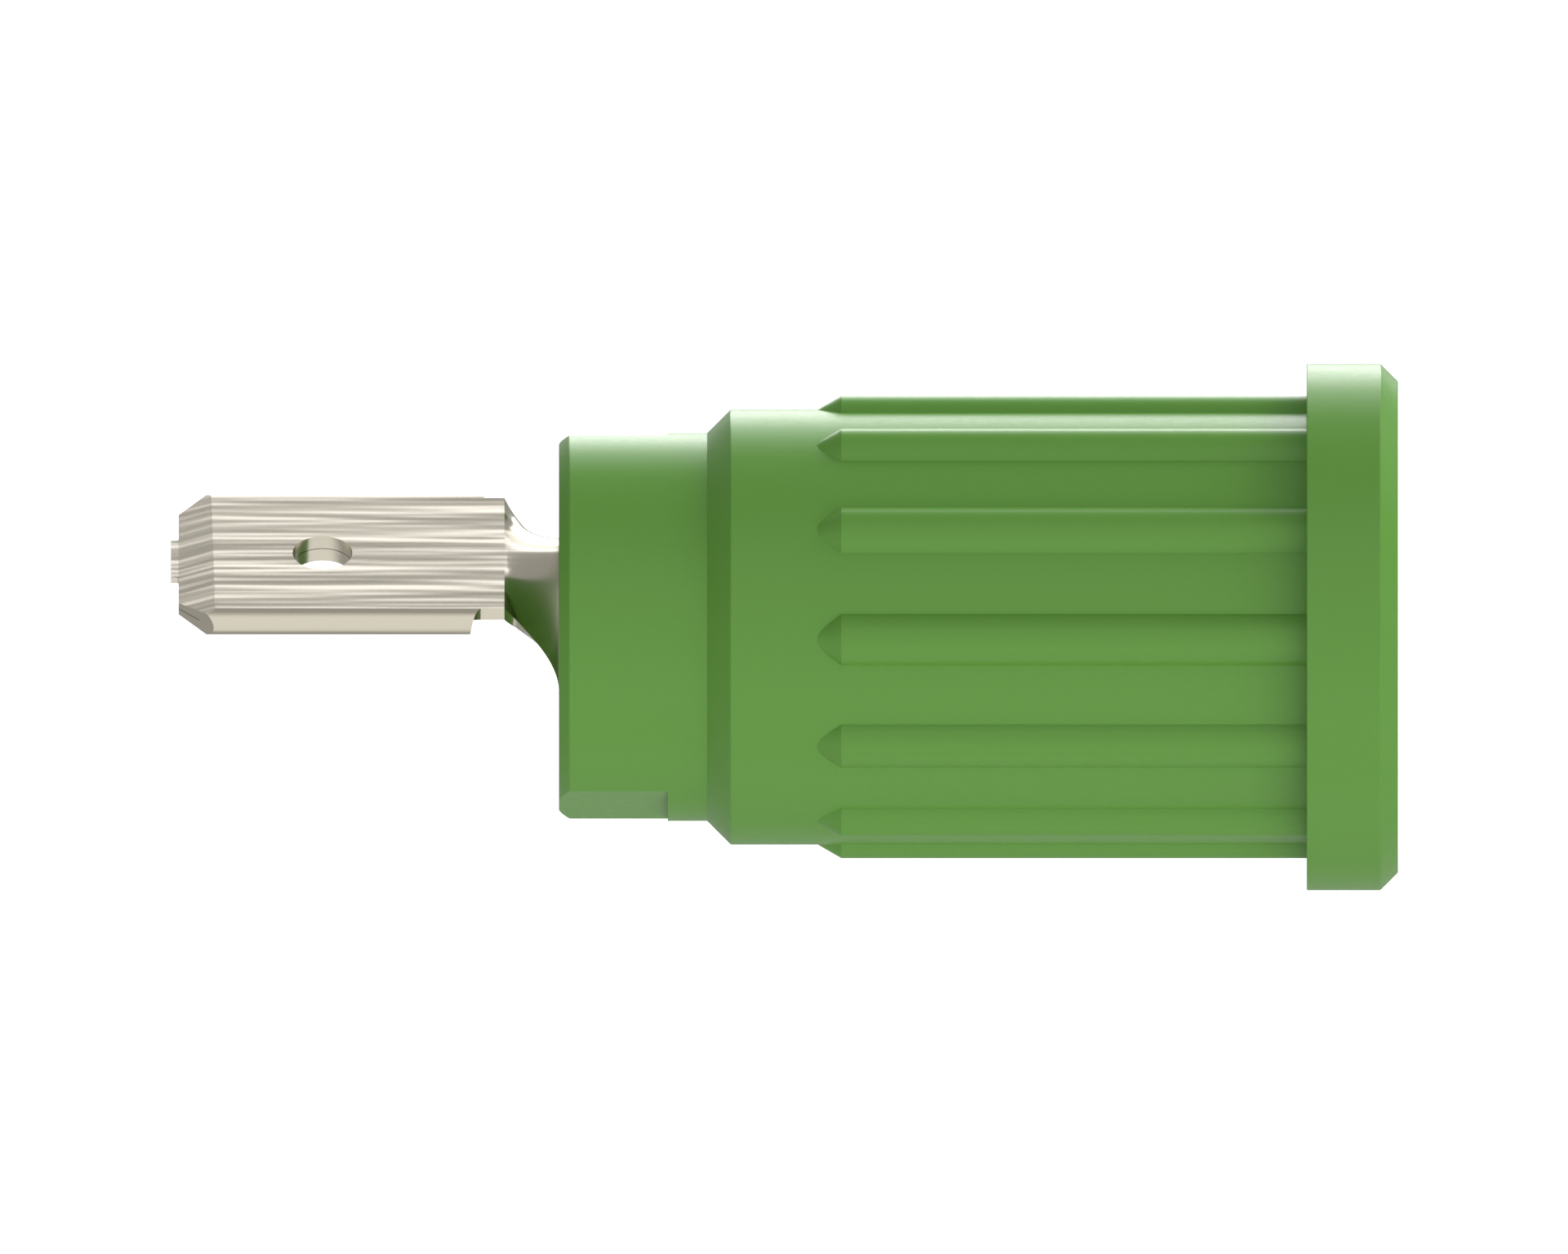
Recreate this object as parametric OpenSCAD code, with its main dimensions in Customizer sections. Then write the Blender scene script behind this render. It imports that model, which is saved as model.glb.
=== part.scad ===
// Press-in panel socket for a shrouded 4 mm plug, with a 6.3 x 0.8 mm blade for a slip-on
// receptacle. It is two pieces: a moulded insulating housing, and a contact that is stamped,
// folded and rolled from one strip of sheet.
// Frame: +X out of the front of the panel along the socket's axis, +Z out of the flat of the
// blade on the side where the blade lies, origin at the centre of the flange's seat.

/* [Flange and body] */
// Diameter of the flange that covers the panel's hole
flange_d = 15; // [14:0.1:18]
// Thickness of the flange
flange_t = 2.6; // [1.8:0.1:4]
// Chamfer round the flange's front edge
flange_chamfer = 0.5; // [0.1:0.05:0.9]
// Diameter of the body between its ribs
body_d = 12.4; // [11.8:0.1:13]
// Length of the body behind the flange, up to its taper
body_l = 16.4; // [15:0.1:22]

/* [Spigot] */
// Diameter of the rear spigot
spigot_d = 11.05; // [10.6:0.05:11.6]
// Length of the spigot behind the taper
spigot_l = 4.22; // [3.6:0.02:6]
// Chamfer round the spigot's rear edge
spigot_chamfer = 0.3; // [0.1:0.05:0.6]
// Distance across the spigot's two flats
flats_w = 10.35; // [9.6:0.05:10.9]
// Length of the flats from the rear face
flats_l = 3.1; // [1:0.1:3.5]
// Angle between the flats' normal and the blade's normal
flats_angle = 45; // [0:5:90]

/* [Crush ribs] */
// Number of ribs round the body
rib_n = 12; // [6:1:16]
// Radius of a rib's half-round section
rib_r = 0.83; // [0.5:0.01:1]
// Diameter over the crests of opposite ribs
rib_crest_d = 13.2; // [13.05:0.05:13.8]
// Length of a rib's full section behind the flange
rib_l = 13.25; // [6:0.25:14]
// Half-angle of a rib's conical nose
rib_nose_angle = 30; // [20:1:60]

/* [Plug well] */
// Diameter of the well that takes the plug's shroud
well_d = 8.4; // [8.1:0.1:9]
// Depth of the well from the front face
well_depth = 20; // [17:0.5:21.5]
// Chamfer at the well's mouth
well_chamfer = 0.35; // [0.1:0.05:0.6]
// Diameter of the insulating post in the well
post_d = 6.2; // [6:0.05:6.5]
// Depth of the post's end behind the front face
post_recess = 0.8; // [0.2:0.1:2]
// Chamfer round the post's end
post_chamfer = 0.25; // [0.1:0.05:0.35]
// Diameter of the opening in the post's lip
lip_d = 4.4; // [4.3:0.05:4.6]
// Length of the lip that covers the contact's front end
lip_l = 3; // [1:0.25:5]
// Chamfer at the lip's opening
lip_chamfer = 0.4; // [0.1:0.05:0.5]

/* [Contact barrel] */
// Thickness of the contact's sheet
sheet_t = 0.4; // [0.3:0.05:0.45]
// Inner diameter of the rolled barrel
barrel_d = 4.25; // [4.1:0.05:4.3]
// Width of the open seam along the barrel
seam_w = 0.3; // [0.1:0.05:0.8]
// Coined lead-in at the barrel's front end
lead_in = 0.15; // [0.05:0.05:0.2]
// Radial clearance between the barrel and its bore in the housing
barrel_clearance = 0.03; // [0.01:0.01:0.06]
// Chamfer at the rear mouth of the barrel's bore
bore_chamfer = 0.2; // [0.1:0.05:0.4]

/* [Neck] */
// Length of the neck from the housing's rear face to the flat strip
neck_l = 1.55; // [1.3:0.01:3]
// Width of the strip along the neck, measured round its curl
neck_w = 5.3; // [4.6:0.1:5.6]
// Length over which the strip narrows from the blade's width to the neck's
narrowing_l = 0.4; // [0.1:0.05:0.6]
// How fast the strip starts to curl at the crease: 1 curls it evenly along the neck
curl_ease = 1.75; // [1.2:0.05:2]
// Width of the neck at its root, where its flares meet the barrel's rear edge
root_w = 8.34; // [7:0.02:10]
// Length of the flares that widen the neck to its root
flare_l = 1.25; // [0.6:0.05:1.25]

/* [Blade] */
// Width of the folded blade
blade_w = 6.3; // [6:0.05:6.6]
// Length of the folded blade, where it is two layers thick
blade_l = 8.3; // [7.6:0.1:12]
// Length of the single layer between the fold and the neck
strip_l = 0.98; // [0.6:0.02:2]
// Gap between the two folded layers
fold_gap = 0.02; // [0.01:0.01:0.06]
// Distance from the socket's axis to the inner line of the fold
fold_y = 2.85; // [2.7:0.05:3]
// Radius of the relief at the end of the fold, in the flat sheet
relief_r = 0.4; // [0.2:0.05:0.6]
// Rounding of the blade's free upper edge
edge_r = 0.24; // [0.06:0.02:0.3]
// Diameter of the locking hole
hole_d = 1.7; // [1.5:0.05:2]
// Distance from the blade's tip to the hole's centre
hole_setback = 4.1; // [3.6:0.1:4.6]
// Width of the tip between its corner chamfers
tip_w = 4.52; // [3.6:0.02:5]
// Thickness of the tip, where its bevels end
tip_t = 0.4; // [0.3:0.05:0.6]
// Angle of the bevels on the tip's two broad faces
bevel_angle = 12; // [8:1:20]
// Length of the carrier strip's stub on the tip
stub_l = 0.22; // [0.1:0.02:0.5]
// Width of that stub
stub_w = 1.9; // [1:0.1:3]
// Fillet at the root of that stub
stub_fillet = 0.1; // [0.05:0.01:0.2]

/* [Hidden] */
$fn = 96;
MOULDING_GREEN = "#66964a";
SHEET_METAL = "#dcd7ca";

// Stations along X, with the flange's seat at 0
taper_l = (body_d - spigot_d) / 2;
rear_x = -(body_l + taper_l + spigot_l);
post_x = flange_t - post_recess;
barrel_front_x = post_x - lip_l;
crease_x = rear_x - neck_l;
fold_end_x = crease_x - strip_l;
strip_x = fold_end_x + relief_r;
tip_x = fold_end_x - blade_l;
hole_x = tip_x + hole_setback;

// Radii and heights about the socket's axis
barrel_r = barrel_d / 2;
barrel_outer_r = barrel_r + sheet_t;
barrel_mid_r = barrel_r + sheet_t / 2;
bore_r = barrel_outer_r + barrel_clearance;
fold_r = sheet_t + fold_gap / 2;
blade_z = barrel_outer_r - fold_r;
free_y = blade_w - fold_y - fold_r;
strip_y = min(fold_y, free_y);

// The neck is divided this many times across, along its straight and along its flares
NECK_ACROSS = 24;
NECK_ALONG = 3;
NECK_FLARE = 14;
// The relief's arc is divided this many times
RELIEF_STEPS = 8;
// The neck runs this far into the strip and the barrel, thinned by the second value on each face
NECK_ROOT = 0.3;
NECK_SINK = 0.004;
// Cutters and cores reach this far past what they cut or join
OVER = 1;

// Extrudes a section drawn in Y and Z from x0 to x1
module along_x(x0, x1) {
    translate([x0, 0, 0])
        rotate([90, 0, 90])
            linear_extrude(height = x1 - x0)
                children();
}

// Extrudes a side view drawn in X and Z right across the blade
module across_blade() {
    rotate([90, 0, 0])
        linear_extrude(height = 2 * blade_w, center = true)
            children();
}

// Turns a profile drawn as [radius, x] round the socket's axis
module turned_about_x() {
    rotate([0, 90, 0])
        rotate_extrude()
            rotate(90)
                mirror([0, 1])
                    children();
}

// Half of the housing's section, from the rear mouth of its bore round to the same point
module housing_profile() {
    polygon([
        [rear_x, bore_r + bore_chamfer],
        [rear_x, spigot_d / 2 - spigot_chamfer],
        [rear_x + spigot_chamfer, spigot_d / 2],
        [-body_l - taper_l, spigot_d / 2],
        [-body_l, body_d / 2],
        [0, body_d / 2],
        [0, flange_d / 2],
        [flange_t - flange_chamfer, flange_d / 2],
        [flange_t, flange_d / 2 - flange_chamfer],
        [flange_t, well_d / 2 + well_chamfer],
        [flange_t - well_chamfer, well_d / 2],
        [flange_t - well_depth, well_d / 2],
        [flange_t - well_depth, post_d / 2],
        [post_x - post_chamfer, post_d / 2],
        [post_x, post_d / 2 - post_chamfer],
        [post_x, lip_d / 2 + lip_chamfer],
        [post_x - lip_chamfer, lip_d / 2],
        [barrel_front_x, lip_d / 2],
        [barrel_front_x, bore_r],
        [rear_x + bore_chamfer, bore_r]
    ]);
}

// One rib on the +Z side: a rod sunk in the body, with a conical nose at its rear end
module crush_rib() {
    nose_l = rib_r / tan(rib_nose_angle);
    translate([-rib_l, 0, rib_crest_d / 2 - rib_r])
        rotate([0, 90, 0]) {
            cylinder(h = rib_l + flange_t / 2, r = rib_r);
            mirror([0, 0, 1])
                cylinder(h = nose_l, r1 = rib_r, r2 = 0);
        }
}

// The slab that takes one flat off the spigot
module spigot_flat() {
    translate([rear_x - OVER, -spigot_d / 2, flats_w / 2])
        cube([flats_l + OVER, spigot_d, spigot_d / 2]);
}

module housing() {
    color(MOULDING_GREEN)
        difference() {
            union() {
                turned_about_x() housing_profile();
                for (i = [0 : rib_n - 1])
                    rotate([i * 360 / rib_n, 0, 0])
                        crush_rib();
            }
            for (side = [0, 180])
                rotate([side - flats_angle, 0, 0])
                    spigot_flat();
        }
}

// The rolled tube, open along its seam on the side away from the blade
module barrel() {
    difference() {
        along_x(rear_x, barrel_front_x)
            difference() {
                circle(r = barrel_outer_r);
                circle(r = barrel_r);
                translate([-seam_w / 2, -2 * barrel_outer_r])
                    square([seam_w, 2 * barrel_outer_r]);
            }
        translate([barrel_front_x - lead_in, 0, 0])
            rotate([0, 90, 0])
                cylinder(h = lead_in + OVER, r1 = barrel_r, r2 = barrel_r + lead_in + OVER);
    }
}

// Section of the sheet folded on itself, with the fold on the -Y side and its middle at Z = 0
module folded_section() {
    difference() {
        union() {
            translate([-fold_y, -fold_r])
                square([fold_y + free_y, 2 * fold_r]);
            translate([-fold_y, 0])
                circle(r = fold_r);
        }
        translate([-fold_y, -fold_gap / 2])
            square([2 * blade_w, fold_gap]);
        translate([-fold_y, 0])
            circle(r = fold_gap / 2);
    }
}

// What is taken off the free upper edge to round it
module edge_rounding() {
    translate([free_y - edge_r, fold_r - edge_r])
        difference() {
            square(edge_r + OVER);
            circle(r = edge_r);
        }
}

// Where the relief's arc lies once it is bent round the fold by the angle turn
function relief_point(turn) =
    let (round_bend = min(relief_r, fold_r / 2 * turn * PI / 180))
    [
        fold_end_x + relief_r - sqrt(pow(relief_r, 2) - pow(relief_r - round_bend, 2)),
        -fold_y - fold_r * sin(turn)
    ];

// Outline of the blade from above
module blade_outline() {
    fold_side = fold_y + fold_r;
    polygon([
        [tip_x, -tip_w / 2],
        [tip_x + fold_side - tip_w / 2, -fold_side],
        for (i = [RELIEF_STEPS : -1 : 0]) relief_point(90 * i / RELIEF_STEPS),
        [crease_x, -fold_y],
        [crease_x, strip_y],
        [strip_x, strip_y],
        [strip_x, free_y],
        [tip_x + free_y - tip_w / 2, free_y],
        [tip_x, tip_w / 2]
    ]);
}

// Side view of the blade, bevelled to its tip on both faces
module blade_side() {
    length = crease_x - tip_x;
    rise = length * tan(bevel_angle);
    polygon([
        [tip_x, tip_t / 2],
        [tip_x, -tip_t / 2],
        [crease_x, -tip_t / 2 - rise],
        [crease_x, tip_t / 2 + rise]
    ]);
}

// What is left of the carrier strip, on the upper layer only
module carrier_stub() {
    translate([0, 0, fold_gap / 2])
        linear_extrude(height = (tip_t - fold_gap) / 2)
            difference() {
                translate([tip_x - stub_l, -stub_w / 2 - stub_fillet])
                    square([stub_l + tip_t, stub_w + 2 * stub_fillet]);
                for (side = [-1, 1])
                    translate([tip_x - stub_fillet, side * (stub_w / 2 + stub_fillet)]) {
                        circle(r = stub_fillet);
                        translate([-stub_l, -stub_fillet])
                            square([stub_l, 2 * stub_fillet]);
                    }
            }
}

module blade() {
    translate([0, 0, blade_z])
        difference() {
            union() {
                intersection() {
                    along_x(tip_x, crease_x) folded_section();
                    linear_extrude(height = 4 * fold_r, center = true) blade_outline();
                    across_blade() blade_side();
                }
                carrier_stub();
            }
            along_x(tip_x + free_y - tip_w / 2, strip_x) edge_rounding();
            translate([fold_end_x, -blade_w, -2 * fold_r])
                cube([strip_l + OVER, 2 * blade_w, 2 * fold_r + fold_gap / 2]);
            translate([hole_x, 0, -2 * fold_r])
                cylinder(h = 4 * fold_r, d = hole_d);
        }
}

// Share of the barrel's curvature that the neck has at a distance x from the crease
function curl_share(x) = max(0, 1 - pow(max(0, 1 - x / neck_l), curl_ease));

// Falls from 1 at the crease to 0 where the strip has narrowed
function crease_share(x) = max(0, min(1, 1 - x / narrowing_l));

// Reach of the strip's edge from the middle at x, narrowing from its reach at the crease
function strip_reach(x, at_crease) =
    neck_w / 2 + (at_crease - neck_w / 2) * pow(crease_share(x), 2);

// Share of the flares' length that lies between their start and x
function flare_share(x) = max(0, min(1, (x - (neck_l - flare_l)) / flare_l));

// Reach of the flares at x, along quarter ellipses that end square to the barrel's rear edge
function flare_reach(x) =
    root_w / 2 - (root_w - neck_w) / 2 * sqrt(1 - pow(flare_share(x), 2));

function neck_reach(x, at_crease) = max(strip_reach(x, at_crease), flare_reach(x));

// A point of the curled sheet: s along its width from the middle, n off its middle surface
function curled_point(x, s, n) =
    let (
        radius = barrel_mid_r / max(curl_share(x), 0.0001),
        turn = s / radius * 180 / PI
    )
    [crease_x + x, (radius + n) * sin(turn), barrel_mid_r - radius + (radius + n) * cos(turn)];

// A section of the neck: upper face across, lower face back
function neck_ring(x, thinned) =
    let (
        low = thinned - neck_reach(x, fold_y),
        high = neck_reach(x, strip_y) - thinned,
        n = sheet_t / 2 - thinned
    )
    [
        for (j = [0 : NECK_ACROSS])
            curled_point(x, low + (high - low) * j / NECK_ACROSS, n),
        for (j = [NECK_ACROSS : -1 : 0])
            curled_point(x, low + (high - low) * j / NECK_ACROSS, -n)
    ];

// Triangles between two neighbouring sections of the given size
function ring_sides(start, size) = [
    for (j = [0 : size - 1])
        let (a = start + j, b = start + (j + 1) % size)
        each [[a, b, b + size], [a, b + size, a + size]]
];

// Triangles that close a section, in strips across the sheet
function ring_cap(start, size) = [
    for (j = [0 : NECK_ACROSS - 1])
        let (a = start + j, b = start + size - 1 - j)
        each [[a, a + 1, b - 1], [a, b - 1, b]]
];

function turned_over(faces) = [for (f = faces) [f[2], f[1], f[0]]];

module neck() {
    straight_l = neck_l - flare_l;
    stations = [
        for (i = [1 : NECK_ALONG]) straight_l * i / NECK_ALONG,
        for (i = [1 : NECK_FLARE - 1]) straight_l + flare_l * sin(90 * i / NECK_FLARE)
    ];
    rings = [
        for (x = [-NECK_ROOT, 0]) neck_ring(x, NECK_SINK),
        for (x = stations) neck_ring(x, 0),
        for (x = [neck_l, neck_l + NECK_ROOT]) neck_ring(x, NECK_SINK)
    ];
    size = len(rings[0]);
    last = len(rings) - 1;
    polyhedron(
        points = [for (ring = rings) each ring],
        faces = [
            each turned_over(ring_cap(0, size)),
            for (i = [0 : last - 1]) each ring_sides(i * size, size),
            each ring_cap(last * size, size)
        ]
    );
}

module contact() {
    color(SHEET_METAL) {
        barrel();
        neck();
        blade();
    }
}

housing();
contact();
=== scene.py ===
import math

import bmesh
import bpy
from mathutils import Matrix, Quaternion, Vector


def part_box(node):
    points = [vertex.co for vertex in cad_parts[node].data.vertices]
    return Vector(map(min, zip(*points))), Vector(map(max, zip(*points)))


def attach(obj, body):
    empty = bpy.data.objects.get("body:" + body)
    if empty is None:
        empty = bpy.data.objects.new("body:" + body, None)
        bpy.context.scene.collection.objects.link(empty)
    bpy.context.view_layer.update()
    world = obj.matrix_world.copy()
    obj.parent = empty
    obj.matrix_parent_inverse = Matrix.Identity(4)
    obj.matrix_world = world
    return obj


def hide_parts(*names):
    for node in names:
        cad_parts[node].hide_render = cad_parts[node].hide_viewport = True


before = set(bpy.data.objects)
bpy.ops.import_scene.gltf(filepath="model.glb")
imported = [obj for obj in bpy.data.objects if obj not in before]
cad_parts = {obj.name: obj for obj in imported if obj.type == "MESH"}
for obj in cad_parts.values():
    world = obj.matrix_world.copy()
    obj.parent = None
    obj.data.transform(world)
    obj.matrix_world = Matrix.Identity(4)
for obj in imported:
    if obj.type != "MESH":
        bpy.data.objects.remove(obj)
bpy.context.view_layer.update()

# Pieces are modelled in millimetres and brought to metres when they are finished. Points closer
# than TOUCH count as one place, and a cut only snaps to points within CUT_TOUCH.
MM = 0.001
TOUCH = 0.0005
CUT_TOUCH = TOUCH / 10

# Overall stations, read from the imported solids
housing_low, housing_high = (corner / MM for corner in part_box("housing"))
contact_low, contact_high = (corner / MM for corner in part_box("contact"))

# Housing: flange, body, spigot
FLANGE_R = 7.5
FLANGE_T = housing_high.x
FLANGE_CHAMFER = 0.5
BODY_R = 6.2
SPIGOT_R = 5.525
SPIGOT_L = 4.22
SPIGOT_CHAMFER = 0.3
REAR_X = housing_low.x
BODY_END_X = REAR_X + SPIGOT_L + BODY_R - SPIGOT_R
FLATS_HALF = 5.175
FLATS_L = 3.1
FLATS_TURN = math.radians(45)

# Housing: crush ribs
RIBS = 12
RIB_R = 0.83
RIB_CREST_R = 6.6
RIB_L = 13.25
RIB_NOSE = math.radians(30)

# Housing: plug well, post and the contact's bore
WELL_R = 4.2
WELL_DEPTH = 20.0
WELL_CHAMFER = 0.35
POST_R = 3.1
POST_X = FLANGE_T - 0.8
POST_CHAMFER = 0.25
LIP_R = 2.2
LIP_CHAMFER = 0.4
BORE_R = 2.555
BORE_CHAMFER = 0.2

# Contact: sheet and rolled barrel
SHEET_T = 0.4
BARREL_BORE_R = 2.125
BARREL_MID_R = BARREL_BORE_R + SHEET_T / 2
BARREL_FRONT_X = contact_high.x
SEAM_W = 0.3
LEAD_IN = 0.15

# Contact: neck
NECK_L = 1.55
NECK_W = 5.3
NARROWING_L = 0.4
CURL_EASE = 1.75
ROOT_W = 8.34
FLARE_L = 1.25

# Contact: folded blade
BLADE_W = 6.3
STRIP_L = 0.98
FOLD_GAP = 0.02
FOLD_Y = 2.85
RELIEF_L = 0.4
RELIEF_W = 0.6
EDGE_R = 0.24
HOLE_R = 0.85
HOLE_SETBACK = 4.1
TIP_W = 4.52
TIP_T = 0.4
TIP_BEVEL = math.radians(12)
TIP_SKEW = 0.004
STUB_L = 0.22
STUB_W = 1.9
STUB_FILLET = 0.1

TIP_X = contact_low.x + STUB_L
CREASE_X = REAR_X - NECK_L
FOLD_END_X = CREASE_X - STRIP_L
STRIP_X = FOLD_END_X + RELIEF_L
FOLD_R = SHEET_T + FOLD_GAP / 2
FOLD_MID_R = (SHEET_T + FOLD_GAP) / 2
FOLD_ARC = math.pi * FOLD_MID_R
BLADE_Z = BARREL_MID_R - FOLD_MID_R
FREE_Y = BLADE_W - FOLD_Y - FOLD_R
LOWER_LAYER_W = FOLD_Y + FREE_Y

# How finely round forms are divided, and the length over which the blade's free edge steps in
TURN_SIDES = 192
RIB_SIDES = 48
HOLE_SIDES = 96
STRIP_COLUMNS = 60
NECK_ROWS = 8
FLARE_ROWS = 40
RELIEF_COLUMNS = 44
FOLD_COLUMNS = 4
SEAM_COLUMNS = 16
FILLET_STEPS = 12
STEP_L = 0.004

# The mould leaves its outer corners softened by this much
MOULD_EDGE = 0.035
MOULD_EDGE_STEPS = 3

# Faces that meet at less than this angle are shaded as one, with large faces weighing most
SMOOTH_BELOW = math.radians(9)
FACE_WEIGHT = 60

# Grain: the scales of its broad and tone noises, and the range that noise mostly keeps to
BROAD_SCALE = 1.0
TONE_SCALE = 0.6
NOISE_LOW = 0.3
NOISE_MIDDLE = 0.5
NOISE_HIGH = 0.7

# The plated sheet is smoother past the crease, where it is curled: over WORN_L, its relief and its
# roughness fall to these shares
WORN_L = 0.1
WORN_RELIEF = 0.4
WORN_ROUGHNESS = 0.7

# Camera: a parallel view, square to the socket's axis and 33.4 degrees above it
ELEVATION = math.radians(33.4)
IMAGE_W = 1920
PIXELS_PER_MM = 43.0
SEAT_PIXEL_X = 1600.0
TO_CAMERA = Vector((0.0, -math.cos(ELEVATION), math.sin(ELEVATION)))
CAMERA_UP = Vector((0.0, math.sin(ELEVATION), math.cos(ELEVATION)))
CAMERA_DISTANCE = 0.2
CLIP_NEAR = 0.001
CLIP_FAR = 10.0

# Studio, in metres. Directions are given as for view_direction: degrees above the view axis, and
# degrees aside towards the socket's front.
AMBIENT_AT_BLADE = 0.56
AMBIENT_AT_FLANGE = 0.95
FLOOR_Z = -0.1
FLOOR_SIZE = 0.5
FLOOR_COLOUR = (0.85, 0.85, 0.85, 1)
FLOOR_LIFT = 0.35
TENT_R = 0.6
TENT_SIDES = 96
TENT_RINGS = 64
TENT_OPENING = (-28, 12)
TENT_OPENING_HALF = math.radians(50)
TENT_FADE = math.radians(50)
TENT_GREY = 0.42
DARK_CORNER = (120, -60)
DARK_CORNER_HALF = math.radians(38)
DARK_CORNER_SHARE = 0.5

# A rim light in three strips, which the sheet and the moulding reflect, and two lamps that only
# light. A radiance of 1 shows as white.
RIM_DISTANCE = 0.5
LAMP_DISTANCE = 0.8
SOFTBOXES = (
    {"name": "rim_edge", "direction": (118, -1.5), "distance": RIM_DISTANCE,
     "width": 0.30, "height": 0.057, "radiance": 1.65, "roll": -23, "colour": (0.97, 0.98, 1.08)},
    {"name": "rim_middle", "direction": (127, 0), "distance": RIM_DISTANCE,
     "width": 0.265, "height": 0.105, "radiance": 1.0},
    {"name": "rim_top", "direction": (148.5, 0), "distance": RIM_DISTANCE,
     "width": 0.31, "height": 0.277, "radiance": 3.35},
    {"name": "front_softbox", "direction": (-45, 25), "distance": LAMP_DISTANCE,
     "width": 0.8, "height": 0.8, "radiance": 1.5, "reflected": False},
    {"name": "back_softbox", "direction": (116, 38), "distance": LAMP_DISTANCE,
     "width": 0.5, "height": 0.5, "radiance": 4.8, "reflected": False},
)


# Modelling helpers

def only(piece):
    """Makes piece the one that is selected and active."""
    bpy.ops.object.select_all(action="DESELECT")
    piece.select_set(True)
    bpy.context.view_layer.objects.active = piece


def edit(piece, mode):
    """Opens piece for editing its vertices, edges or faces, with nothing selected."""
    only(piece)
    bpy.ops.object.mode_set(mode="EDIT")
    bpy.ops.mesh.select_mode(type=mode)
    bpy.ops.mesh.select_all(action="DESELECT")


def leave_edit():
    bpy.ops.object.mode_set(mode="OBJECT")


def select(piece, kind, test):
    """Selects the vertices, edges or faces of the open piece that pass the test, and no others."""
    bpy.ops.mesh.select_all(action="DESELECT")
    mesh = bmesh.from_edit_mesh(piece.data)
    for part in getattr(mesh, kind):
        if test(part):
            part.select_set(True)
    bmesh.update_edit_mesh(piece.data)


def apply_modifier(piece, kind, **settings):
    only(piece)
    bpy.ops.object.modifier_add(type=kind)
    modifier = piece.modifiers[-1]
    for name, value in settings.items():
        setattr(modifier, name, value)
    bpy.ops.object.modifier_apply(modifier=modifier.name)


def cut_or_join(piece, other, operation):
    """Boolean with another solid, which is used up."""
    apply_modifier(piece, "BOOLEAN", object=other, operation=operation, solver="EXACT")
    bpy.data.objects.remove(other)


def joined(pieces):
    bpy.ops.object.select_all(action="DESELECT")
    for piece in pieces:
        piece.select_set(True)
    bpy.context.view_layer.objects.active = pieces[0]
    bpy.ops.object.join()
    return bpy.context.object


def finish_piece(piece, name, node, material):
    """Merges the points that cuts left in one place, brings a piece to metres, smooths its round
    faces and puts it in its node's place."""
    edit(piece, "VERT")
    bpy.ops.mesh.select_all(action="SELECT")
    bpy.ops.mesh.remove_doubles(threshold=TOUCH)
    leave_edit()
    piece.name = name
    piece.scale = (MM, MM, MM)
    bpy.ops.object.transform_apply(location=True, rotation=True, scale=True)
    bpy.ops.object.shade_smooth_by_angle(angle=SMOOTH_BELOW)
    apply_modifier(piece, "WEIGHTED_NORMAL", keep_sharp=True, weight=FACE_WEIGHT)
    piece.data.materials.clear()
    piece.data.materials.append(material)
    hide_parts(node)
    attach(piece, "root")


# Housing

def housing_rings():
    """The housing's turned section as (x, radius), from its rear bore round to the same point."""
    return [
        (REAR_X, BORE_R + BORE_CHAMFER),
        (REAR_X, SPIGOT_R - SPIGOT_CHAMFER),
        (REAR_X + SPIGOT_CHAMFER, SPIGOT_R),
        (REAR_X + SPIGOT_L, SPIGOT_R),
        (BODY_END_X, BODY_R),
        (0.0, BODY_R),
        (0.0, FLANGE_R),
        (FLANGE_T - FLANGE_CHAMFER, FLANGE_R),
        (FLANGE_T, FLANGE_R - FLANGE_CHAMFER),
        (FLANGE_T, WELL_R + WELL_CHAMFER),
        (FLANGE_T - WELL_CHAMFER, WELL_R),
        (FLANGE_T - WELL_DEPTH, WELL_R),
        (FLANGE_T - WELL_DEPTH, POST_R),
        (POST_X - POST_CHAMFER, POST_R),
        (POST_X, POST_R - POST_CHAMFER),
        (POST_X, LIP_R + LIP_CHAMFER),
        (POST_X - LIP_CHAMFER, LIP_R),
        (BARREL_FRONT_X, LIP_R),
        (BARREL_FRONT_X, BORE_R),
        (REAR_X + BORE_CHAMFER, BORE_R),
    ]


def outer_corners(rings):
    """The rings at which the section turns outwards, which a mould leaves slightly rounded."""
    corners = []
    for i, (x, r) in enumerate(rings):
        x0, r0 = rings[i - 1]
        x1, r1 = rings[(i + 1) % len(rings)]
        if (x - x0) * (r1 - r) - (r - r0) * (x1 - x) < 0:
            corners.append((x, r))
    return corners


def turned(rings):
    """Extrudes a circle from ring to ring along X and closes it on itself."""
    x, r = rings[0]
    bpy.ops.mesh.primitive_circle_add(
        vertices=TURN_SIDES, radius=r, location=(x, 0, 0), rotation=(0, math.pi / 2, 0)
    )
    piece = bpy.context.object
    bpy.ops.object.transform_apply(location=True, rotation=True, scale=True)
    edit(piece, "EDGE")
    bpy.ops.mesh.select_all(action="SELECT")
    for next_x, next_r in rings[1:] + rings[:1]:
        bpy.ops.mesh.extrude_edges_move(TRANSFORM_OT_translate={"value": (next_x - x, 0, 0)})
        if next_r != r:
            bpy.ops.transform.resize(
                value=(1, next_r / r, next_r / r), center_override=(next_x, 0, 0)
            )
        x, r = next_x, next_r
    bpy.ops.mesh.select_all(action="SELECT")
    bpy.ops.mesh.remove_doubles(threshold=TOUCH)
    bpy.ops.mesh.normals_make_consistent(inside=False)
    leave_edit()
    return piece


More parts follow.
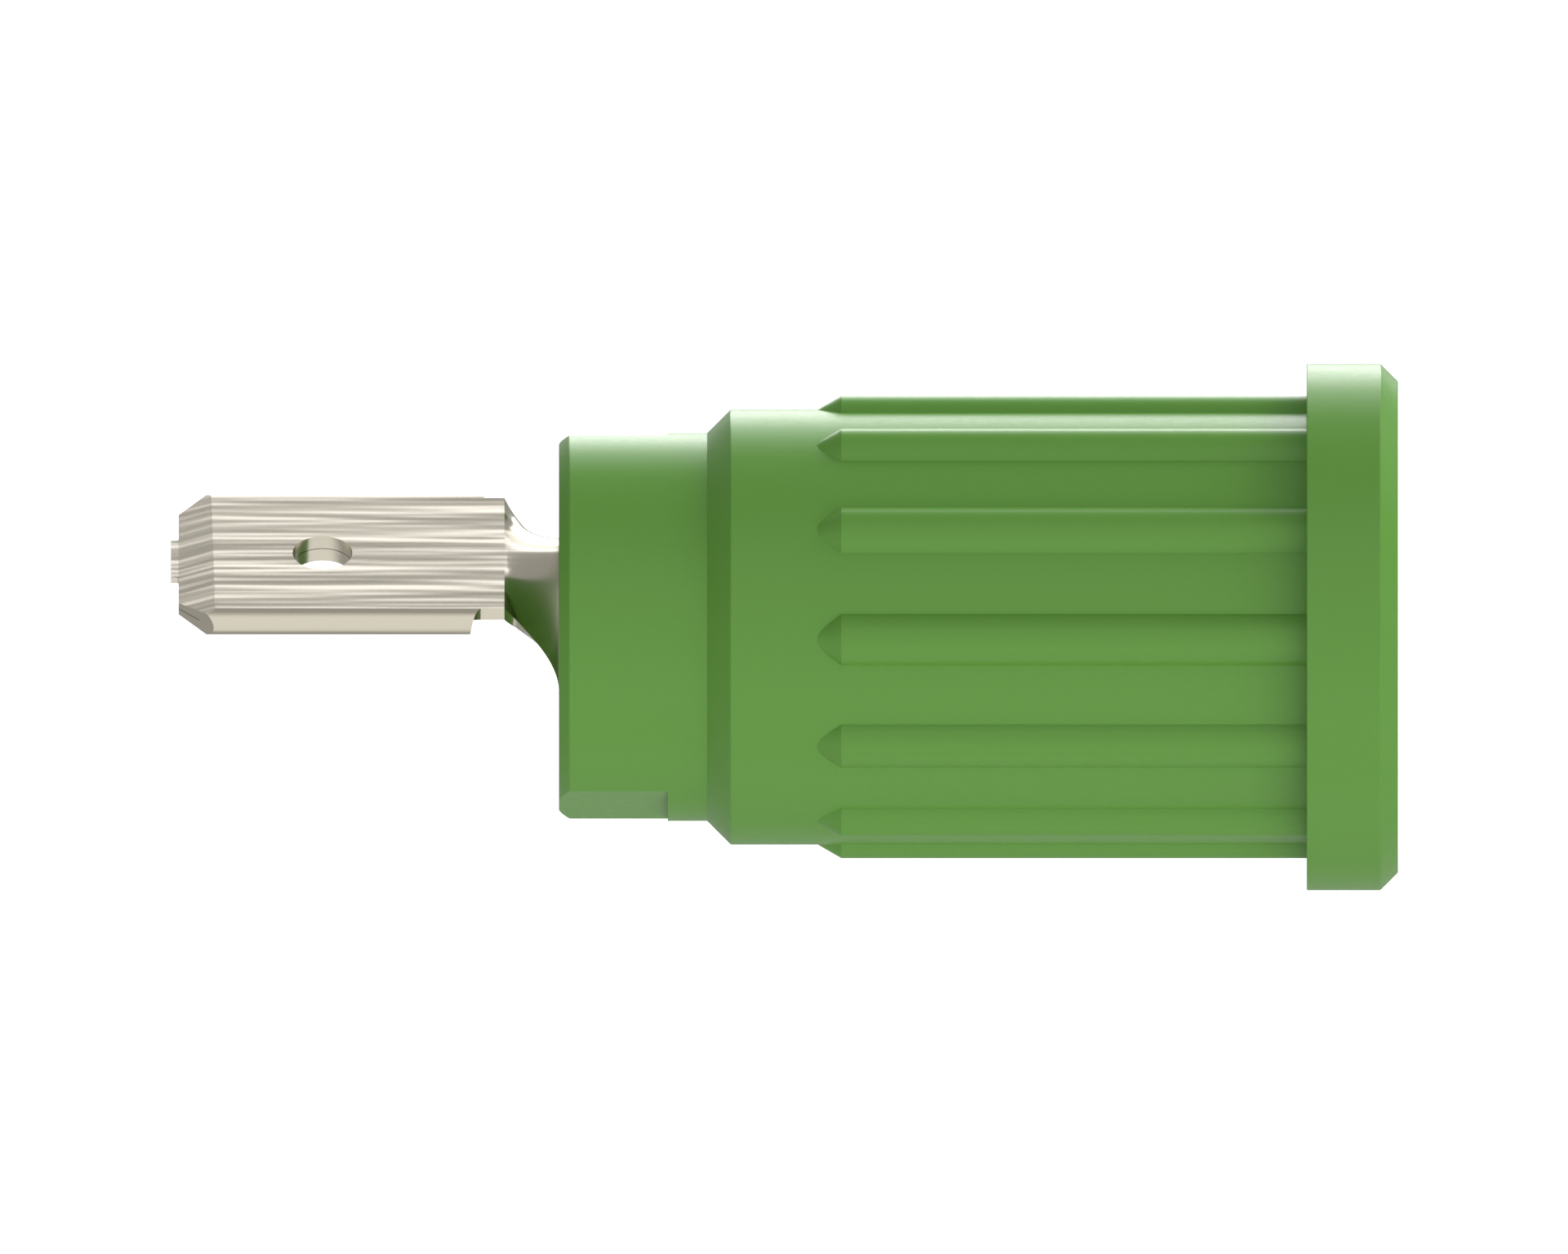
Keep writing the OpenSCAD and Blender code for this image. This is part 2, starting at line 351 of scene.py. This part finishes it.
def soften_corners(piece, corners):
    def lies_on_a_corner(vertex):
        radius = math.hypot(vertex.co.y, vertex.co.z)
        return any(abs(vertex.co.x - x) < TOUCH and abs(radius - r) < TOUCH for x, r in corners)

    def runs_round_a_corner(edge):
        a, b = edge.verts
        return lies_on_a_corner(a) and lies_on_a_corner(b) and abs(a.co.x - b.co.x) < TOUCH

    edit(piece, "EDGE")
    select(piece, "edges", runs_round_a_corner)
    bpy.ops.mesh.bevel(offset=MOULD_EDGE, segments=MOULD_EDGE_STEPS, affect="EDGES")
    leave_edit()


def crush_ribs():
    """Rods with conical noses, spaced round the body, sunk in it and run on into the flange."""
    length = RIB_L + FLANGE_T / 2
    nose_l = RIB_R / math.tan(RIB_NOSE)
    ribs = []
    for i in range(RIBS):
        bpy.ops.mesh.primitive_cylinder_add(
            vertices=RIB_SIDES, radius=RIB_R, depth=length, end_fill_type="TRIFAN",
            location=(length / 2 - RIB_L, 0, RIB_CREST_R - RIB_R), rotation=(0, math.pi / 2, 0),
        )
        rib = bpy.context.object
        bpy.ops.object.transform_apply(location=True, rotation=True, scale=True)
        edit(rib, "VERT")
        select(rib, "verts", lambda v: v.co.x < 0 and abs(v.co.z - RIB_CREST_R + RIB_R) < TOUCH
               and abs(v.co.y) < TOUCH)
        bpy.ops.transform.translate(value=(-nose_l, 0, 0))
        leave_edit()
        rib.rotation_euler.x = 2 * math.pi * i / RIBS
        bpy.ops.object.transform_apply(location=True, rotation=True, scale=True)
        ribs.append(rib)
    return joined(ribs)


def spigot_flats():
    """The two slabs that are taken off opposite sides of the spigot."""
    reach = 2 * SPIGOT_R
    slabs = []
    for side in (0.0, math.pi):
        bpy.ops.mesh.primitive_cube_add(size=1)
        slab = bpy.context.object
        slab.scale = (2 * FLATS_L, reach, reach)
        slab.location = (REAR_X, 0, FLATS_HALF + reach / 2)
        bpy.ops.object.transform_apply(location=True, rotation=True, scale=True)
        slab.rotation_euler.x = side - FLATS_TURN
        bpy.ops.object.transform_apply(location=True, rotation=True, scale=True)
        slabs.append(slab)
    return joined(slabs)


def make_housing(material):
    rings = housing_rings()
    housing = turned(rings)
    soften_corners(housing, outer_corners(rings))
    cut_or_join(housing, crush_ribs(), "UNION")
    cut_or_join(housing, spigot_flats(), "DIFFERENCE")
    finish_piece(housing, "moulded_housing", "housing", material)


# Contact

def strip_reach(x):
    """Reach of the strip's edges past the crease, narrowing from the single layer's."""
    share = max(0.0, 1 - x / NARROWING_L)
    return NECK_W / 2 + (FOLD_Y - NECK_W / 2) * share**2


def flare_reach(x):
    """Reach of the quarter ellipses that widen the neck into the barrel's rear edge."""
    share = min(1.0, max(0.0, (x - NECK_L + FLARE_L) / FLARE_L))
    return ROOT_W / 2 - (ROOT_W - NECK_W) / 2 * math.sqrt(1 - share**2)


def strip_edges(x):
    """The strip's two edges at a station X, measured across it from the socket's axis."""
    past_crease = x - CREASE_X
    if past_crease > TOUCH:
        reach = max(strip_reach(past_crease), flare_reach(past_crease))
        return -reach, reach
    return -FOLD_Y, FREE_Y if x < STRIP_X + TOUCH else FOLD_Y


def strip_stations():
    """Stations along the strip, close together where it curls and flares."""
    quarter = math.pi / 2
    return [
        TIP_X,
        STRIP_X,
        STRIP_X + STEP_L,
        CREASE_X,
        *(CREASE_X + (NECK_L - FLARE_L) * i / NECK_ROWS for i in range(1, NECK_ROWS)),
        *(REAR_X - FLARE_L * (1 - math.sin(quarter * i / FLARE_ROWS)) for i in range(FLARE_ROWS)),
        REAR_X,
        BARREL_FRONT_X - LEAD_IN,
        BARREL_FRONT_X,
    ]


def fold_columns():
    """Lines along the fold in the flat sheet, as distances from its inner line. They lie close
    together where the relief's arc is steep."""
    quarter = math.pi / 2
    past_relief = FOLD_ARC - RELIEF_W
    return [
        *(
            RELIEF_W * (1 - math.cos(quarter * i / RELIEF_COLUMNS))
            for i in range(1, RELIEF_COLUMNS)
        ),
        *(RELIEF_W + past_relief * i / FOLD_COLUMNS for i in range(FOLD_COLUMNS + 1)),
    ]


def fold_end(across):
    """Where the fold ends in the flat sheet: a relief in a quarter ellipse from its inner line."""
    into_fold = min(1.0, (-FOLD_Y - across) / RELIEF_W)
    return FOLD_END_X + RELIEF_L * (1 - math.sqrt(1 - (1 - into_fold) ** 2))


def flat_blank():
    """The stamped blank: X along the strip, Y across it, before any fold or curl."""
    stations = strip_stations()
    rows = len(stations) - 1
    bpy.ops.mesh.primitive_grid_add(x_subdivisions=rows, y_subdivisions=STRIP_COLUMNS, size=1)
    blank = bpy.context.object
    for vertex in blank.data.vertices:
        x = stations[round((vertex.co.x + 0.5) * rows)]
        near, far = strip_edges(x)
        vertex.co = (x, near + (far - near) * (vertex.co.y + 0.5), 0)

    edit(blank, "EDGE")
    select(blank, "edges", lambda e: all(
        abs(v.co.y + FOLD_Y) < TOUCH and v.co.x < STRIP_X + TOUCH for v in e.verts))
    reached = 0.0
    for column in fold_columns():
        bpy.ops.mesh.extrude_edges_move(TRANSFORM_OT_translate={"value": (0, reached - column, 0)})
        reached = column
    bpy.ops.mesh.extrude_edges_move(TRANSFORM_OT_translate={"value": (0, -LOWER_LAYER_W, 0)})

    seam_arc = math.pi * BARREL_MID_R - SEAM_W / 2 - ROOT_W / 2
    for side in (-1, 1):
        select(blank, "edges", lambda e: all(
            abs(v.co.y - side * ROOT_W / 2) < TOUCH and v.co.x > REAR_X - TOUCH for v in e.verts))
        for i in range(SEAM_COLUMNS):
            bpy.ops.mesh.extrude_edges_move(
                TRANSFORM_OT_translate={"value": (0, side * seam_arc / SEAM_COLUMNS, 0)}
            )
    leave_edit()

    for vertex in blank.data.vertices:
        x, across = vertex.co.xy
        if TIP_X + TOUCH < x < CREASE_X and across < -FOLD_Y - TOUCH:
            vertex.co.x = fold_end(across)
    return blank


def formed(x, across, off):
    """Where a point of the flat blank lies once the sheet is folded, curled and rolled: across is
    measured from the strip's middle line, and off from the middle of the sheet's thickness."""
    past_crease = x - CREASE_X
    if past_crease > TOUCH:
        radius = BARREL_MID_R / (1 - max(0.0, 1 - past_crease / NECK_L) ** CURL_EASE)
        turn = across / radius
        return (
            x,
            (radius + off) * math.sin(turn),
            BARREL_MID_R - radius + (radius + off) * math.cos(turn),
        )
    past_fold = -FOLD_Y - across
    if past_fold <= 0:
        return x, across, BARREL_MID_R + off
    turn = min(math.pi, past_fold / FOLD_MID_R)
    under = max(0.0, past_fold - FOLD_ARC)
    return (
        x,
        -FOLD_Y - (FOLD_MID_R + off) * math.sin(turn) + under,
        BLADE_Z + (FOLD_MID_R + off) * math.cos(turn),
    )


def slice_blade(blade, through, outward):
    """Cuts the blade flat on the outward side of a plane, and closes the cut."""
    edit(blade, "FACE")
    select(blade, "faces", lambda f: all(v.co.x < CREASE_X + TOUCH for v in f.verts))
    bpy.ops.mesh.bisect(
        plane_co=through, plane_no=outward, use_fill=True, clear_outer=True, threshold=CUT_TOUCH
    )
    leave_edit()


def shape_tip(contact):
    for side in (-1, 1):
        slice_blade(contact, (TIP_X, side * TIP_W / 2, 0), (-1, side, 0))
    for face in (-1, 1):
        slice_blade(
            contact,
            (TIP_X, 0, BLADE_Z + face * TIP_T / 2),
            (-math.tan(TIP_BEVEL), -TIP_SKEW, face),
        )


def punch_hole(contact):
    bpy.ops.mesh.primitive_cylinder_add(
        vertices=HOLE_SIDES, radius=HOLE_R, depth=4 * FOLD_R,
        location=(TIP_X + HOLE_SETBACK, 0, BLADE_Z),
    )
    cut_or_join(contact, bpy.context.object, "DIFFERENCE")


def leave_carrier_stub(contact):
    """What is left of the strip that carried the contact, on the upper layer's tip."""
    edit(contact, "FACE")
    for side in (-1, 1):
        select(contact, "faces", lambda f: all(
            v.co.x < FOLD_END_X and v.co.z > BLADE_Z for v in f.verts))
        bpy.ops.mesh.bisect(
            plane_co=(TIP_X, side * STUB_W / 2, 0), plane_no=(0, 1, 0), threshold=CUT_TOUCH
        )
    select(contact, "faces", lambda f: all(
        abs(v.co.x - TIP_X) < TOUCH and abs(v.co.y) < STUB_W / 2 + TOUCH and v.co.z > BLADE_Z
        for v in f.verts))
    bpy.ops.mesh.extrude_region_move(TRANSFORM_OT_translate={"value": (-STUB_L, 0, 0)})
    bpy.ops.mesh.select_mode(type="EDGE")
    select(contact, "edges", lambda e: all(
        abs(v.co.x - TIP_X) < TOUCH and abs(abs(v.co.y) - STUB_W / 2) < TOUCH and v.co.z > BLADE_Z
        for v in e.verts) and abs(e.verts[0].co.z - e.verts[1].co.z) > SHEET_T / 4)
    bpy.ops.mesh.bevel(offset=STUB_FILLET, segments=FILLET_STEPS, affect="EDGES")
    leave_edit()


def round_free_edge(contact):
    """Rounds the upper layer's free edge over, as the stamping die leaves it."""
    top = BARREL_MID_R + SHEET_T / 2
    edit(contact, "EDGE")
    select(contact, "edges", lambda e: all(
        abs(v.co.y - FREE_Y) < TOUCH and abs(v.co.z - top) < TOUCH and v.co.x < STRIP_X + TOUCH
        for v in e.verts))
    bpy.ops.mesh.bevel(offset=EDGE_R, segments=FILLET_STEPS, affect="EDGES")
    leave_edit()


def make_contact(material):
    contact = flat_blank()
    apply_modifier(contact, "SOLIDIFY", thickness=SHEET_T, offset=0)
    for vertex in contact.data.vertices:
        if vertex.co.x > BARREL_FRONT_X - TOUCH and vertex.co.z < 0:
            vertex.co.z += LEAD_IN
        vertex.co = formed(*vertex.co)
    edit(contact, "FACE")
    bpy.ops.mesh.select_all(action="SELECT")
    bpy.ops.mesh.normals_make_consistent(inside=False)
    leave_edit()
    shape_tip(contact)
    round_free_edge(contact)
    leave_carrier_stub(contact)
    punch_hole(contact)
    finish_piece(contact, "folded_contact", "contact", material)


# Node trees

def add_node(tree, kind, inputs=None, **settings):
    """Adds a node with its settings. Each of its inputs gets a value, or a link from an output."""
    node = tree.nodes.new(kind)
    for name, value in settings.items():
        setattr(node, name, value)
    for name, value in (inputs or {}).items():
        if isinstance(value, bpy.types.NodeSocket):
            tree.links.new(value, node.inputs[name])
        else:
            node.inputs[name].default_value = value
    return node


def calculated(tree, operation, first, second):
    """Output with what an operation makes of two values."""
    node = add_node(tree, "ShaderNodeMath", {0: first, 1: second}, operation=operation)
    return node.outputs["Value"]


def along(tree, place, axis):
    """Output with how far a place lies along an axis."""
    node = add_node(tree, "ShaderNodeVectorMath", {0: place, 1: axis}, operation="DOT_PRODUCT")
    return node.outputs["Value"]


def mapped(tree, value, start, end, level_at_start, level_at_end, way="LINEAR"):
    """Output with a level that goes from one to another as the value goes from start to end."""
    node = add_node(tree, "ShaderNodeMapRange", {
        "Value": value, "From Min": start, "From Max": end,
        "To Min": level_at_start, "To Max": level_at_end,
    }, interpolation_type=way)
    return node.outputs["Result"]


def emptied(owner):
    """Node tree of a new material or world, without the nodes it comes with."""
    owner.use_nodes = True
    owner.node_tree.nodes.clear()
    return owner.node_tree


# Materials

def make_grain_group():
    """Grain of a surface: a broad and a fine noise mixed for its relief, and a tone."""
    group = bpy.data.node_groups.new("surface_grain", "ShaderNodeTree")
    for name, way, kind in (
        ("Vector", "INPUT", "NodeSocketVector"),
        ("Fine Share", "INPUT", "NodeSocketFloat"),
        ("Fine Scale", "INPUT", "NodeSocketFloat"),
        ("Relief", "OUTPUT", "NodeSocketFloat"),
        ("Tone", "OUTPUT", "NodeSocketFloat"),
    ):
        group.interface.new_socket(name, in_out=way, socket_type=kind)
    given = add_node(group, "NodeGroupInput").outputs
    place = given["Vector"]
    broad = add_node(group, "ShaderNodeTexNoise", {
        "Vector": place, "Scale": BROAD_SCALE, "Detail": 0.0})
    fine = add_node(group, "ShaderNodeTexNoise", {
        "Vector": place, "Scale": given["Fine Scale"], "Detail": 0.0})
    tone = add_node(group, "ShaderNodeTexNoise", {
        "Vector": place, "Scale": TONE_SCALE, "Detail": 1.0})
    relief = add_node(group, "ShaderNodeMix", {
        "Factor": given["Fine Share"], "A": broad.outputs["Fac"], "B": fine.outputs["Fac"]})
    add_node(group, "NodeGroupOutput", {
        "Relief": relief.outputs["Result"], "Tone": tone.outputs["Fac"]})
    return group


def grained_material(name, group, turn, stretch, fine_share, fine_scale, relief, colours,
                     roughness, metallic=0.0, worn=None):
    """A Principled material with the shared grain in its relief, colour and roughness. turn and
    stretch lead from the object's coordinates to the grain's, and relief is in metres. worn is two
    stations X, and the shares of relief and of roughness that are left at the second."""
    material = bpy.data.materials.new(name)
    material.use_nodes = True
    tree = material.node_tree
    shader = tree.nodes["Principled BSDF"]
    shader.inputs["Metallic"].default_value = metallic
    place = add_node(tree, "ShaderNodeTexCoord").outputs["Object"]
    turned_place = add_node(tree, "ShaderNodeMapping", {"Vector": place, "Rotation": turn},
                            vector_type="POINT")
    stretched = add_node(tree, "ShaderNodeVectorMath", {
        0: turned_place.outputs["Vector"], 1: stretch}, operation="MULTIPLY")
    grain = add_node(tree, "ShaderNodeGroup", {
        "Vector": stretched.outputs["Vector"], "Fine Share": fine_share, "Fine Scale": fine_scale,
    }, node_tree=group).outputs
    height = calculated(tree, "SUBTRACT", grain["Relief"], NOISE_MIDDLE)
    rough = mapped(tree, grain["Tone"], NOISE_LOW, NOISE_HIGH, *roughness)
    if worn:
        start, end, relief_left, roughness_left = worn
        station = add_node(tree, "ShaderNodeSeparateXYZ", {"Vector": place}).outputs["X"]
        relief_share = mapped(tree, station, start * MM, end * MM, 1.0, relief_left)
        roughness_share = mapped(tree, station, start * MM, end * MM, 1.0, roughness_left)
        height = calculated(tree, "MULTIPLY", height, relief_share)
        rough = calculated(tree, "MULTIPLY", rough, roughness_share)
    bump = add_node(tree, "ShaderNodeBump", {
        "Strength": 1.0, "Distance": relief, "Height": height})
    colour = add_node(tree, "ShaderNodeMix", {
        "Factor": grain["Tone"], "A": colours[0], "B": colours[1]}, data_type="RGBA")
    tree.links.new(bump.outputs["Normal"], shader.inputs["Normal"])
    tree.links.new(colour.outputs["Result"], shader.inputs["Base Color"])
    tree.links.new(rough, shader.inputs["Roughness"])
    return material


def make_plastic(group):
    """Green moulding with the fine grain of its mould, the same in each direction."""
    return grained_material(
        "green_moulding", group,
        turn=(0, 0, 0), stretch=(9000, 9000, 9000),
        fine_share=0.3, fine_scale=3.0, relief=0.0000008,
        colours=((0.110, 0.312, 0.033, 1), (0.114, 0.324, 0.035, 1)),
        roughness=(0.30, 0.36),
    )


def make_metal(group):
    """Nickel-plated sheet with the lines that drawing left along it. Their pattern is turned about
    the strip, so that it crosses faces and cut edges alike."""
    return grained_material(
        "nickel_plated_sheet", group,
        turn=(math.radians(38), 0, 0), stretch=(110, 2300, 0),
        fine_share=0.28, fine_scale=2.5, relief=0.000032,
        colours=((0.652, 0.605, 0.497, 1), (0.683, 0.635, 0.523, 1)),
        roughness=(0.19, 0.27), metallic=1.0,
        worn=(CREASE_X, CREASE_X + WORN_L, WORN_RELIEF, WORN_ROUGHNESS),
    )


# Studio

def make_camera():
    """A parallel view of the socket's axis, with the flange's seat at SEAT_PIXEL_X across it."""
    aim_x = (IMAGE_W / 2 - SEAT_PIXEL_X) / PIXELS_PER_MM * MM
    data = bpy.data.cameras.new("camera")
    data.type = "ORTHO"
    data.ortho_scale = IMAGE_W / PIXELS_PER_MM * MM
    data.clip_start = CLIP_NEAR
    data.clip_end = CLIP_FAR
    camera = bpy.data.objects.new("camera", data)
    camera.location = Vector((aim_x, 0.0, 0.0)) + TO_CAMERA * CAMERA_DISTANCE
    camera.rotation_mode = "QUATERNION"
    camera.rotation_quaternion = (-TO_CAMERA).to_track_quat("-Z", "Y")
    bpy.context.scene.collection.objects.link(camera)
    bpy.context.scene.camera = camera


def view_direction(turn, aside):
    """Direction turn degrees above the view axis and aside degrees towards the socket's front."""
    up = math.radians(turn)
    over = math.radians(aside)
    upright = TO_CAMERA * math.cos(up) + CAMERA_UP * math.sin(up)
    return (upright * math.cos(over) + Vector((math.sin(over), 0, 0))).normalized()


def add_softbox(name, direction, distance, width, height, radiance, roll=0, colour=(1, 1, 1),
                reflected=True):
    """A rectangular light that faces the object, turned by roll degrees about the line to it."""
    to_light = view_direction(*direction)
    data = bpy.data.lights.new(name, "AREA")
    data.shape = "RECTANGLE"
    data.size = width
    data.size_y = height
    data.energy = radiance * math.pi * width * height
    data.color = colour
    lamp = bpy.data.objects.new(name, data)
    lamp.location = to_light * distance
    lamp.rotation_mode = "QUATERNION"
    turned_box = Quaternion((0, 0, 1), math.radians(roll))
    lamp.rotation_quaternion = to_light.to_track_quat("Z", "Y") @ turned_box
    lamp.visible_camera = False
    lamp.visible_glossy = reflected
    bpy.context.scene.collection.objects.link(lamp)


def seen_directly(tree):
    """1 for camera, glossy and transmission rays, which see the background, and 0 for others."""
    rays = add_node(tree, "ShaderNodeLightPath").outputs
    camera_or_glossy = calculated(tree, "MAXIMUM", rays["Is Camera Ray"], rays["Is Glossy Ray"])
    return calculated(tree, "MAXIMUM", camera_or_glossy, rays["Is Transmission Ray"])


def make_world():
    """White where it is seen, and elsewhere a soft light that grows towards the socket's front."""
    world = bpy.data.worlds.new("studio")
    tree = emptied(world)
    direction = add_node(tree, "ShaderNodeTexCoord").outputs["Generated"]
    to_front = along(tree, direction, (1, 0, 0))
    level = mapped(tree, to_front, -1.0, 1.0, AMBIENT_AT_BLADE, AMBIENT_AT_FLANGE)
    ambient = add_node(tree, "ShaderNodeBackground", {"Strength": level})
    white = add_node(tree, "ShaderNodeBackground", {"Color": (1, 1, 1, 1), "Strength": 1.0})
    mix = add_node(tree, "ShaderNodeMixShader", {
        "Fac": seen_directly(tree), 1: ambient.outputs[0], 2: white.outputs[0]})
    add_node(tree, "ShaderNodeOutputWorld", {"Surface": mix.outputs[0]})
    bpy.context.scene.world = world


def make_floor():
    """A pale floor below the object, brought up to white where no shadow lies on it."""
    bpy.ops.mesh.primitive_plane_add(size=FLOOR_SIZE, location=(0, 0, FLOOR_Z))
    floor = bpy.context.object
    floor.name = "studio_floor"
    bpy.ops.object.transform_apply(location=True, rotation=True, scale=True)
    material = bpy.data.materials.new("pale_floor")
    tree = emptied(material)
    pale = add_node(tree, "ShaderNodeBsdfDiffuse", {"Color": FLOOR_COLOUR})
    lift = add_node(tree, "ShaderNodeEmission", {"Strength": FLOOR_LIFT})
    lifted = add_node(tree, "ShaderNodeAddShader", {0: pale.outputs[0], 1: lift.outputs[0]})
    mix = add_node(tree, "ShaderNodeMixShader", {
        "Fac": seen_directly(tree), 1: pale.outputs[0], 2: lifted.outputs[0]})
    add_node(tree, "ShaderNodeOutputMaterial", {"Surface": mix.outputs[0]})
    floor.data.materials.append(material)
    floor.visible_glossy = False


def make_grey_tent():
    """A tent of grey cloth round the back of the object, open towards the front and darker in one
    corner. It shows only in reflections, which would otherwise be white all over."""
    opening = view_direction(*TENT_OPENING)
    bpy.ops.mesh.primitive_uv_sphere_add(segments=TENT_SIDES, ring_count=TENT_RINGS, radius=TENT_R)
    tent = bpy.context.object
    tent.name = "grey_tent"
    edit(tent, "FACE")
    select(tent, "faces", lambda f: f.calc_center_median().angle(opening) < TENT_OPENING_HALF)
    bpy.ops.mesh.delete(type="FACE")
    leave_edit()
    for hidden in ("visible_camera", "visible_diffuse", "visible_shadow", "visible_transmission"):
        setattr(tent, hidden, False)
    material = bpy.data.materials.new("grey_cloth")
    tree = emptied(material)
    place = add_node(tree, "ShaderNodeTexCoord").outputs["Object"]
    to_opening = along(tree, place, opening / TENT_R)
    to_corner = along(tree, place, view_direction(*DARK_CORNER) / TENT_R)
    fade = mapped(
        tree, to_opening, math.cos(TENT_OPENING_HALF + TENT_FADE), math.cos(TENT_OPENING_HALF),
        TENT_GREY, 1.0, way="SMOOTHSTEP",
    )
    shade = mapped(
        tree, to_corner, math.cos(DARK_CORNER_HALF), 1.0, 1.0, DARK_CORNER_SHARE, way="SMOOTHSTEP",
    )
    strength = calculated(tree, "MULTIPLY", fade, shade)
    cloth = add_node(tree, "ShaderNodeEmission", {"Strength": strength})
    add_node(tree, "ShaderNodeOutputMaterial", {"Surface": cloth.outputs[0]})
    tent.data.materials.append(material)


make_camera()
make_world()
make_floor()
make_grey_tent()
for softbox in SOFTBOXES:
    add_softbox(**softbox)
bpy.context.scene.view_settings.view_transform = "Standard"

grain_group = make_grain_group()
make_housing(make_plastic(grain_group))
make_contact(make_metal(grain_group))
